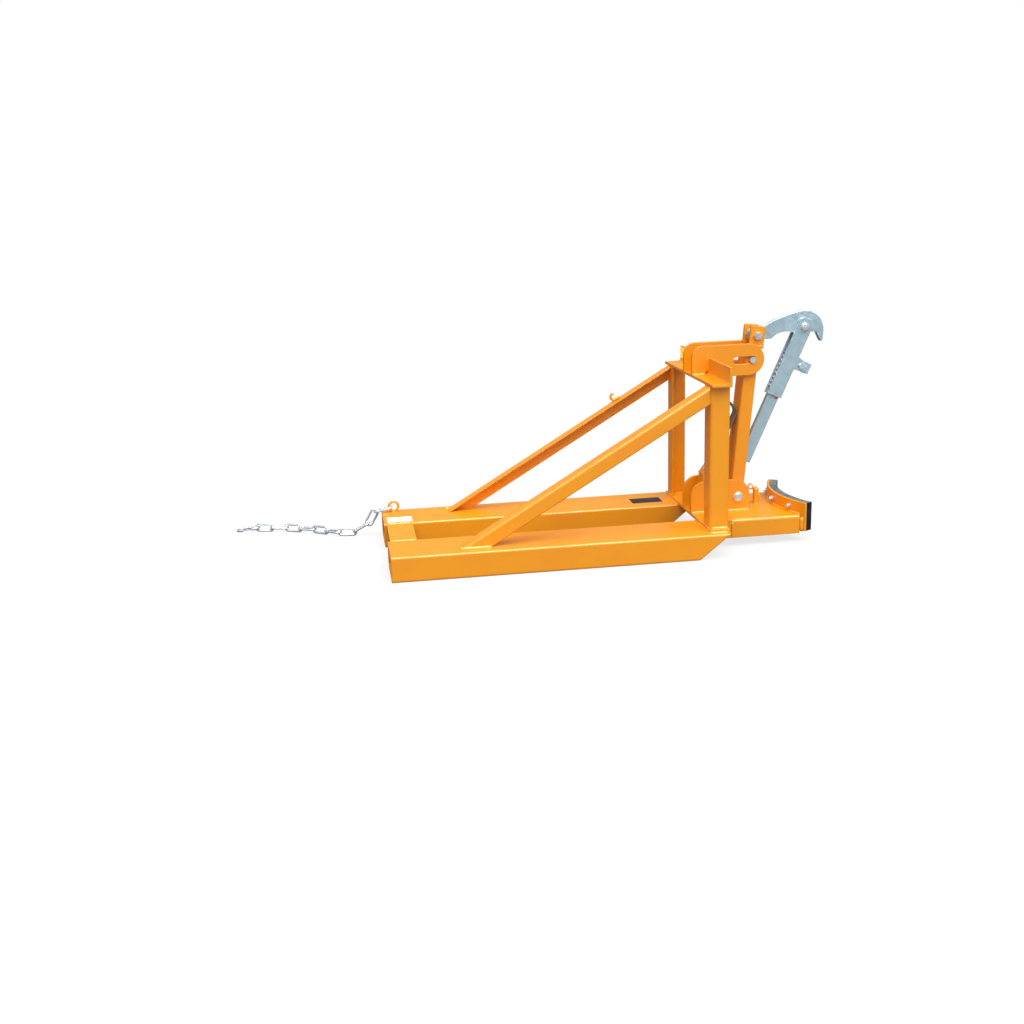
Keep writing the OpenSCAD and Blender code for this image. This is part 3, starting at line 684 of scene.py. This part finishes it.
class Workpiece:
    """A mesh in the making, which becomes one piece on a body."""

    BEAD_SIDES = 8
    BEAD_END = 0.6
    BEAD_RIPPLE = (1.05, 0.92)
    SLAB_STEPS = 2
    MERGE = 1e-6

    def __init__(self, name: str) -> None:
        """Starts an empty mesh for a piece of that name."""
        self.name = name
        self.mesh = bmesh.new()

    @staticmethod
    def edges_of(verts: Iterable[bmesh.types.BMVert]) -> list[bmesh.types.BMEdge]:
        """Gives all edges at some corners."""
        return list({edge for vert in verts for edge in vert.link_edges})

    def grow(self, edges: list[bmesh.types.BMEdge], step: Vector
             ) -> tuple[list[bmesh.types.BMVert], list[bmesh.types.BMEdge]]:
        """Draws a row of edges out by one step.

        Args:
            edges: The edges that are drawn out.
            step: How far and which way.

        Returns:
            The new corners and the new row of edges.
        """
        grown = bmesh.ops.extrude_edge_only(self.mesh, edges=edges)["geom"]
        verts = [item for item in grown if isinstance(item, bmesh.types.BMVert)]
        fresh = set(verts)
        row = [item for item in grown
               if isinstance(item, bmesh.types.BMEdge) and set(item.verts) <= fresh]
        bmesh.ops.translate(self.mesh, verts=verts, vec=step)
        return verts, row

    def bead(self, path: Sequence[Vector], radius: float) -> None:
        """Lays a rippled weld along a path.

        Args:
            path: Points that the weld follows.
            radius: Radius of the bead.
        """
        points: list[Vector] = []
        for start, end in zip(path, path[1:]):
            count = max(1, round((end - start).length / radius))
            points += [start.lerp(end, i / count) for i in range(count)]
        points.append(path[-1])
        facing = (points[1] - points[0]).to_track_quat("Z", "Y").to_matrix().to_4x4()
        made = bmesh.ops.create_circle(self.mesh, cap_ends=False, segments=self.BEAD_SIDES,
                                       radius=self.BEAD_END * radius,
                                       matrix=Matrix.Translation(points[0]) @ facing)
        row = self.edges_of(made["verts"])
        width = self.BEAD_END
        for i, (last, point) in enumerate(zip(points, points[1:])):
            goal = self.BEAD_END if i == len(points) - 2 else self.BEAD_RIPPLE[i % 2]
            verts, row = self.grow(row, point - last)
            bmesh.ops.scale(self.mesh, verts=verts, vec=(goal / width,) * 3,
                            space=Matrix.Translation(-point))
            width = goal
        bmesh.ops.holes_fill(self.mesh, edges=self.mesh.edges, sides=self.BEAD_SIDES)

    def slab(self, low: Vector, high: Vector, corner: float) -> None:
        """Adds a flat block with rounded edges.

        Args:
            low: Its lowest corner.
            high: Its highest corner.
            corner: Radius of its edges.
        """
        made = bmesh.ops.create_cube(self.mesh, size=1.0)
        bmesh.ops.scale(self.mesh, verts=made["verts"], vec=high - low)
        bmesh.ops.translate(self.mesh, verts=made["verts"], vec=(low + high) / 2)
        bmesh.ops.bevel(self.mesh, geom=self.edges_of(made["verts"]), offset=corner,
                        affect="EDGES", segments=self.SLAB_STEPS, profile=0.5, material=-1)

    def finish(self, material: bpy.types.Material, slot: Slot, smooth: bool = True
               ) -> bpy.types.Object:
        """Closes the mesh and makes it an object.

        Args:
            material: Its finish.
            slot: The record's slot that it belongs to; not used.
            smooth: Whether its faces are shaded smooth.

        Returns:
            The new object, at the origin.
        """
        bmesh.ops.remove_doubles(self.mesh, verts=self.mesh.verts, dist=self.MERGE)
        bmesh.ops.recalc_face_normals(self.mesh, faces=self.mesh.faces)
        data = bpy.data.meshes.new(self.name)
        self.mesh.to_mesh(data)
        self.mesh.free()
        for face in data.polygons:
            face.use_smooth = smooth
        data.materials.append(material)
        piece = bpy.data.objects.new(self.name, data)
        bpy.context.scene.collection.objects.link(piece)
        LOG.info("piece %s: %d faces", self.name, len(data.polygons))
        return piece


@dataclass
class FrameWelds:
    """Weld beads of the fixed frame and the arm, laid where their plates meet."""

    finishes: Finishes
    seam: float = 3.0 * MM
    heavy: float = 4.6 * MM
    start: float = 6 * MM
    clear: float = 8 * MM
    toe_reach: float = 86 * MM
    toe_bead: float = 5.75 * MM
    brace_sink: float = 4 * MM
    brace_head: Span = (48 * MM, 5 * MM)
    edge_drop: float = 1.5 * MM
    front_gap: float = 5 * MM
    cross_drop: float = 2 * MM
    angle_wall: float = 8 * MM
    angle_gaps: Span = (9 * MM, 10 * MM)
    saddle_radius: float = 330.3 * MM
    saddle_steps: int = 24
    saddle_bead: float = 6.9 * MM
    saddle_gaps: Span = (6 * MM, 7 * MM)
    beam_gaps: Span = (2 * MM, 10 * MM)
    ring_bead: float = 2.1 * MM
    ring_steps: int = 16
    ear_bead: float = 2.4 * MM
    ear_start: Span = (2 * MM, 1 * MM)
    ear_end: Span = (1 * MM, 6 * MM)

    feet: ClassVar[tuple[tuple[str, float, float], ...]] = (("chain_eye", 0.24, 0.6),
                                                            ("peg", 0.5, 1.0))

    def build(self) -> None:
        """Lays all beads."""
        self._posts()
        self._base()
        self._head()
        self._saddle()
        self._fittings()
        self._arm()

    def _close(self, work: Workpiece, body: Body = Body.FRAME) -> None:
        """Paints the beads and fixes them to a body."""
        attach(work.finish(self.finishes.weld, Slot.PAINT), body.value)

    def _posts(self) -> None:
        """Beads at the feet and heads of the posts and braces."""
        work = Workpiece("post_welds")
        for side in Side:
            low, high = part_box(side.node("post"))
            outer, inner = side.outer(low, high), side.inner(low, high)
            first, inside = low.x + self.start, outer - side.value * self.clear
            work.bead(line((first, outer, low.z), (high.x, outer, low.z)), self.heavy)
            work.bead(line((low.x, inner, low.z), (low.x, inside, low.z)), self.seam)
            work.bead(line((first, outer, high.z), (high.x, outer, high.z)), self.seam)
            foot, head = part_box(side.node("brace"))
            toe, sunk = side.inner(foot, head), outer - side.value * self.brace_sink
            work.bead(line((foot.x, toe, foot.z), (foot.x, inside, foot.z)), self.seam)
            work.bead(line((foot.x - self.start, outer, foot.z),
                           (foot.x + self.toe_reach, outer, foot.z)), self.toe_bead)
            work.bead(line(*((head.x, sunk, head.z - drop) for drop in self.brace_head)), self.seam)
        self._close(work)

    def _base(self) -> None:
        """Beads round the base plate, the cross plate and the cheeks' feet."""
        work = Workpiece("base_welds")
        base_low, base_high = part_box("base_plate")
        cross_low, cross_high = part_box("rear_cross_plate")
        top, level = base_high.z, cross_high.z - self.cross_drop
        for side in Side:
            low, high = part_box(side.node("fork_pocket"))
            near, edge = side.inner(low, high), side.outer(base_low, base_high)
            inside, lower = near + side.value * self.start, high.z - self.edge_drop
            work.bead(line((base_low.x, inside, high.z), (base_low.x, edge, high.z)), self.seam)
            work.bead(line((base_low.x, edge, lower), (high.x - self.front_gap, edge, lower)),
                      self.heavy)
            work.bead(line((cross_low.x, near, level), (cross_high.x, near, level)), self.heavy)
            low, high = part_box(side.node("pivot_cheek"))
            outer, inner = side.outer(low, high), side.inner(low, high)
            work.bead(line((low.x, outer, top), (high.x, outer, top), (high.x, inner, top)),
                      self.heavy)
        self._close(work)

    def _head(self) -> None:
        """Beads between the guide plates and the top angle."""
        work = Workpiece("head_welds")
        low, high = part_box("top_angle")
        shelf, back = low.z + self.angle_wall, high.x - self.angle_wall
        along, up = self.angle_gaps
        for side in Side:
            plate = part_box(side.node("guide_plate"))
            outer = side.outer(*plate)
            work.bead(line((plate[0].x, outer, shelf), (back - along, outer, shelf)), self.seam)
            work.bead(line((back, outer, shelf + up), (back, outer, high.z)), self.seam)
        self._close(work)

    def _saddle(self) -> None:
        """Beads where the platform meets the beam and the curved plate."""
        work = Workpiece("saddle_welds")
        low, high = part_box("saddle_platform")
        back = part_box("saddle_plate")[0].x
        reach = high.y - self.clear
        across = [reach * (2 * i / self.saddle_steps - 1) for i in range(self.saddle_steps + 1)]
        work.bead(line(*((back + self._bow(y), y, high.z) for y in across)), self.heavy)
        end = back + self._bow(high.y)
        for side in Side:
            edge = side.outer(low, high)
            for x, gaps, radius in ((end, self.saddle_gaps, self.saddle_bead),
                                    (low.x, self.beam_gaps, self.seam)):
                work.bead(line((x, edge, low.z + gaps[0]), (x, edge, high.z - gaps[1])), radius)
        self._close(work)

    def _bow(self, y: float) -> float:
        """Gives how far the curved plate has come forward at a distance from the middle plane."""
        return self.saddle_radius - math.sqrt(self.saddle_radius ** 2 - y * y)

    def _fittings(self) -> None:
        """Beads round the feet of the eye and the peg."""
        work = Workpiece("fitting_welds")
        turns = [2 * math.pi * i / self.ring_steps for i in range(self.ring_steps + 1)]
        for name, share, squeeze in self.feet:
            low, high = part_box(name)
            middle, radius = (low + high) / 2, share * (high.x - low.x)
            work.bead(line(*((middle.x + radius * math.cos(turn),
                              middle.y + squeeze * radius * math.sin(turn), low.z)
                             for turn in turns)), self.ring_bead)
        self._close(work)

    def _arm(self) -> None:
        """Beads at the feet of the ears on the arm's cap."""
        work = Workpiece("ear_welds")
        cap_low, cap_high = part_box("arm_cap")
        for side in Side:
            low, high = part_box(side.node("arm_ear"))
            outer = side.outer(low, high)
            start = (low.x + self.ear_start[0], outer, cap_high.z - self.ear_start[1])
            end = (cap_high.x - self.ear_end[0], outer, cap_low.z + self.ear_end[1])
            work.bead(line(start, end), self.ear_bead)
        self._close(work, Body.ARM)


@dataclass
class Springs:
    """The bent leaf behind the arm and the coil inside the jaw."""

    finishes: Finishes
    leaf_thick: float = 4.0 * MM
    leaf_slope: float = math.radians(52)
    leaf_root: float = 27 * MM
    root_round: float = 14 * MM
    kink_up: float = 259 * MM
    kink_ahead: float = 0.8 * MM
    kink_round: float = 15 * MM
    round_steps: int = 8
    curl: float = math.radians(49)
    bend_share: float = 0.25
    coil_radius: float = 7.4 * MM
    coil_wire: float = 2.3 * MM
    coil_sides: int = 10
    coil_turns: int = 8
    coil_steps: int = 24
    coil_back: float = 11.5 * MM
    coil_top: float = 92.3 * MM
    coil_length: float = 114.4 * MM

    def build(self, frame: dict[str, Any]) -> None:
        """Builds both springs.
        """
        self._leaf(frame)
        self._coil(frame)

    def _leaf(self, frame: dict[str, Any]) -> None:
        """Bends one strip from its bolted root to its curled end."""
        x, _, z = joint_of(frame, "leaf_bend")["pos_m"]
        base = Vector((x, 0, z))
        low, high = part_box("leaf_spring")
        along = Vector((math.cos(self.leaf_slope), 0, math.sin(self.leaf_slope)))
        root = base - self.leaf_root * along
        level = joint_of(frame, "arm_swing")["pos_m"][2] + self.kink_up
        kink = Vector((high.x + self.kink_ahead, 0, level))
        rise = high.z - kink.z
        tip = kink + Vector((-rise / math.tan(self.curl), 0, rise))
        path = [root, *self._curve(root, base, kink, self.root_round),
                *self._curve(base, kink, tip, self.kink_round), tip]
        work = Workpiece("leaf_strip")
        verts = [work.mesh.verts.new((path[0].x, y, path[0].z)) for y in (low.y, high.y)]
        row = [work.mesh.edges.new(verts)]
        for last, point in zip(path, path[1:]):
            _, row = work.grow(row, point - last)
        piece = work.finish(self.finishes.spring, Slot.SPRING, smooth=False)
        wall = piece.modifiers.new("wall", "SOLIDIFY")
        wall.thickness = self.leaf_thick
        wall.offset = 0.0
        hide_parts("leaf_root", "leaf_spring")
        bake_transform(piece)

    def _curve(self, before: Vector, corner: Vector, after: Vector, reach: float) -> list[Vector]:
        """Rounds a corner of a path.

        Args:
            before: The point before the corner.
            corner: The corner itself.
            after: The point after it.
            reach: How far along each side the round starts.

        Returns:
            Points along the round.
        """
        start = corner + (before - corner).normalized() * reach
        end = corner + (after - corner).normalized() * reach
        steps = [i / self.round_steps for i in range(self.round_steps + 1)]
        return [(1 - t) ** 2 * start + 2 * t * (1 - t) * corner + t * t * end for t in steps]

    def _coil(self, frame: dict[str, Any]) -> None:
        """Winds the coil along the jaw and fixes it to the jaw."""
        slide = joint_of(frame, "foot_slide")
        x, _, z = joint_of(frame, "jaw_swing")["pos_m"]
        axis = Vector(slide["axis"])
        across = Vector((axis.z, 0, -axis.x))
        top = Vector((x, 0, z)) - self.coil_top * axis - self.coil_back * across
        work = Workpiece("jaw_coil")
        centre = top + across * self.coil_radius - axis * self.coil_wire
        facing = Matrix((across, axis, Vector((0, 1, 0)))).transposed().to_4x4()
        made = bmesh.ops.create_circle(work.mesh, cap_ends=False, segments=self.coil_sides,
                                       radius=self.coil_wire,
                                       matrix=Matrix.Translation(centre) @ facing)
        steps = self.coil_steps * self.coil_turns
        drop = (self.coil_length - 2 * self.coil_wire) / steps
        bmesh.ops.spin(work.mesh, geom=made["verts"] + work.edges_of(made["verts"]), cent=top,
                       axis=axis, dvec=-axis * drop, angle=2 * math.pi * self.coil_turns,
                       steps=steps, use_merge=False)
        bmesh.ops.holes_fill(work.mesh, edges=work.mesh.edges, sides=self.coil_sides)
        # The near-white coil finish paints the wire's glints as a highlight.
        piece = work.finish(self.finishes.glint_painted_coil, Slot.SPRING)
        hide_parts("coil_spring")
        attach(piece, Body.JAW.value)
        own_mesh(piece)


@dataclass
class BarePlates:
    """Plain films and a plain plate where the real ones carry print."""

    finishes: Finishes
    plate_thick: float = 1.0 * MM
    film_thick: float = 0.3 * MM
    corner: float = 0.12 * MM
    plate_x: Span = (788 * MM, 884 * MM)
    plate_y: Span = (140 * MM, 195 * MM)
    film_x: Span = (12 * MM, 88 * MM)
    film_y: Span = (112 * MM, 166 * MM)
    angle_wall: float = 8 * MM
    angle_start: float = 150 * MM
    angle_end: float = 3 * MM
    angle_gaps: Span = (18 * MM, 2 * MM)

    def build(self) -> None:
        """Lays the plates on the left pocket and the top angle."""
        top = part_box("fork_pocket_left")[1].z
        low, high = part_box("top_angle")
        back = high.x - self.angle_wall
        self._lay("rating_plate", self.finishes.black_film, self.plate_x, self.plate_y,
                  (top, top + self.plate_thick))
        self._lay("rear_film", self.finishes.white_film, self.film_x, self.film_y,
                  (top, top + self.film_thick))
        self._lay("angle_film", self.finishes.yellow_film, (back - self.film_thick, back),
                  (self.angle_start, high.y - self.angle_end),
                  (low.z + self.angle_gaps[0], high.z - self.angle_gaps[1]))

    def _lay(self, name: str, material: bpy.types.Material, *spans: Span) -> None:
        """Makes one plate from its three spans and fixes it to the frame."""
        work = Workpiece(name)
        low, high = (Vector(ends) for ends in zip(*spans))
        work.slab(low, high, self.corner)
        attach(work.finish(material, Slot.PAINT, smooth=False), Body.FRAME.value)


@dataclass
class Studio:
    """White surround, a floor that takes a faint shadow, one broad lamp and the camera."""

    eye: Triple = (-0.1272, -3.5952, 1.0819)
    look: Triple = (0.1352, 0.9566, -0.2581)
    above: Triple = (0.0669, 0.2511, 0.9656)
    lens: float = 43.97
    sensor: float = 36.0
    far_clip: float = 200.0
    sky: Span = (1.25, 0.7)
    sky_turn: Span = (-0.5, 0.5)
    left_sky: Triple = (0.62, 0.4, 0.34)
    left_turn: Span = (-0.1, -0.6)
    left_rise: Span = (0.55, 0.2)
    mirrored: Span = (0.6, 0.3)
    mirrored_turn: Span = (-0.3, 0.5)
    glint: float = 12.0
    glint_turn: Span = (0.88, 0.97)
    sun: float = 2.9
    sun_way: Triple = (-0.05, 0.5, -1.0)
    sun_angle: float = math.radians(60)
    floor_radius: float = 60.0
    floor_sides: int = 96
    floor_seen: float = 0.7
    floor_bounce: float = 0.15
    floor_mirrored: Span = (0.4, 0.14)
    floor_turn: Span = (-0.6, 0.6)
    fade: Span = (0.75, 1.0)
    fade_reach: Span = (1.2, 4.5)

    def build(self) -> None:
        """Builds the floor, the light and the camera."""
        self._floor()
        self._light()
        self._camera()
        bpy.context.scene.view_settings.view_transform = "Standard"

    def _floor(self) -> None:
        """Lays a floor that shows the shadow near the lifter and fades to white."""
        data = bpy.data.meshes.new("floor")
        mesh = bmesh.new()
        bmesh.ops.create_circle(mesh, cap_ends=True, segments=self.floor_sides,
                                radius=self.floor_radius)
        mesh.to_mesh(data)
        mesh.free()
        floor = bpy.data.objects.new("floor", data)
        bpy.context.scene.collection.objects.link(floor)
        material = bpy.data.materials.new("pale_floor")
        material.use_nodes = True
        material.node_tree.nodes.clear()
        graph = Graph(material.node_tree)
        paths = graph.add("LightPath").outputs
        camera, glossy = paths["Is Camera Ray"], paths["Is Glossy Ray"]
        where = graph.coordinates()
        fade = graph.ramp(graph.vector("LENGTH", where), *self.fade_reach, self.fade)
        behind = graph.add("SeparateXYZ", Vector=where).outputs["Y"]
        tone = graph.between(camera, self.floor_bounce, self.floor_seen)
        matt = graph.add("BsdfDiffuse", Color=graph.grey(tone)).outputs[0]
        shine = graph.ramp(behind, *self.floor_turn, self.floor_mirrored)
        glow = graph.add("Emission", Color=(1.0, 1.0, 1.0),
                         Strength=graph.maths("MAXIMUM", camera, shine)).outputs[0]
        share = graph.maths("MAXIMUM", glossy, graph.maths("MULTIPLY", fade, camera))
        both = graph.add("MixShader", in_0=share, in_1=matt, in_2=glow).outputs[0]
        graph.add("OutputMaterial", Surface=both)
        data.materials.append(material)

    def _light(self) -> None:
        """Sets a white surround and one broad lamp from above the lifter's right side."""
        world = bpy.data.worlds.new("studio")
        world.use_nodes = True
        world.node_tree.nodes.clear()
        graph = Graph(world.node_tree)
        paths = graph.add("LightPath").outputs
        where = graph.add("TexCoord").outputs["Generated"]
        way = graph.add("SeparateXYZ", Vector=where).outputs
        plain = graph.grey(graph.ramp(way["Y"], *self.sky_turn, self.sky))
        left = graph.maths("MULTIPLY", graph.ramp(way["X"], *self.left_turn),
                           graph.ramp(way["Z"], *self.left_rise))
        around = graph.mix(left, plain, self.left_sky)
        towards = graph.vector("DOT_PRODUCT", where, in_1=-Vector(self.sun_way).normalized())
        shine = graph.maths("ADD", graph.ramp(way["Y"], *self.mirrored_turn, self.mirrored),
                            graph.ramp(towards, *self.glint_turn, (0.0, self.glint)))
        lit = graph.mix(paths["Is Glossy Ray"], around, graph.grey(shine))
        seen = graph.mix(paths["Is Camera Ray"], lit, (1.0, 1.0, 1.0))
        sky = graph.add("Background", Color=seen, Strength=1.0).outputs[0]
        graph.add("OutputWorld", Surface=sky)
        bpy.context.scene.world = world
        lamp = bpy.data.lights.new("broad_lamp", "SUN")
        lamp.energy = self.sun
        lamp.angle = self.sun_angle
        holder = bpy.data.objects.new("broad_lamp", lamp)
        holder.rotation_euler = Vector(self.sun_way).to_track_quat("-Z", "Y").to_euler()
        bpy.context.scene.collection.objects.link(holder)

    def _camera(self) -> None:
        """Places the camera at the photograph's viewpoint."""
        data = bpy.data.cameras.new("camera")
        data.lens = self.lens
        data.sensor_width = self.sensor
        data.clip_end = self.far_clip
        holder = bpy.data.objects.new("camera", data)
        ahead = Vector(self.look).normalized()
        right = ahead.cross(Vector(self.above)).normalized()
        turn = Matrix((right, right.cross(ahead), -ahead)).transposed()
        holder.matrix_world = Matrix.Translation(Vector(self.eye)) @ turn.to_4x4()
        bpy.context.scene.collection.objects.link(holder)
        bpy.context.scene.camera = holder


def rubbed_point(frame: dict[str, Any]) -> Vector:
    """Finds where the foot has rubbed the jaw's open end.


    Returns:
        The point, on the jaw's near side.
    """
    low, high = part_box("foot_keeper")
    middle = (low + high) / 2
    axis = Vector(joint_of(frame, "foot_slide")["axis"])
    aside = Vector((-axis.z, 0, axis.x))
    return Vector((middle.x, low.y, middle.z)) - RUB_DOWN * axis + RUB_ASIDE * aside


def main() -> None:
    """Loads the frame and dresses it."""
    logging.basicConfig(level=logging.INFO, format="%(name)s: %(message)s")
    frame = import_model()
    Studio().build()
    finishes = Finishes(rubbed_point(frame))
    finishes.dress_nodes(frame)
    FrameWelds(finishes).build()
    Springs(finishes).build(frame)
    BarePlates(finishes).build()


if __name__ == "__main__":
    main()
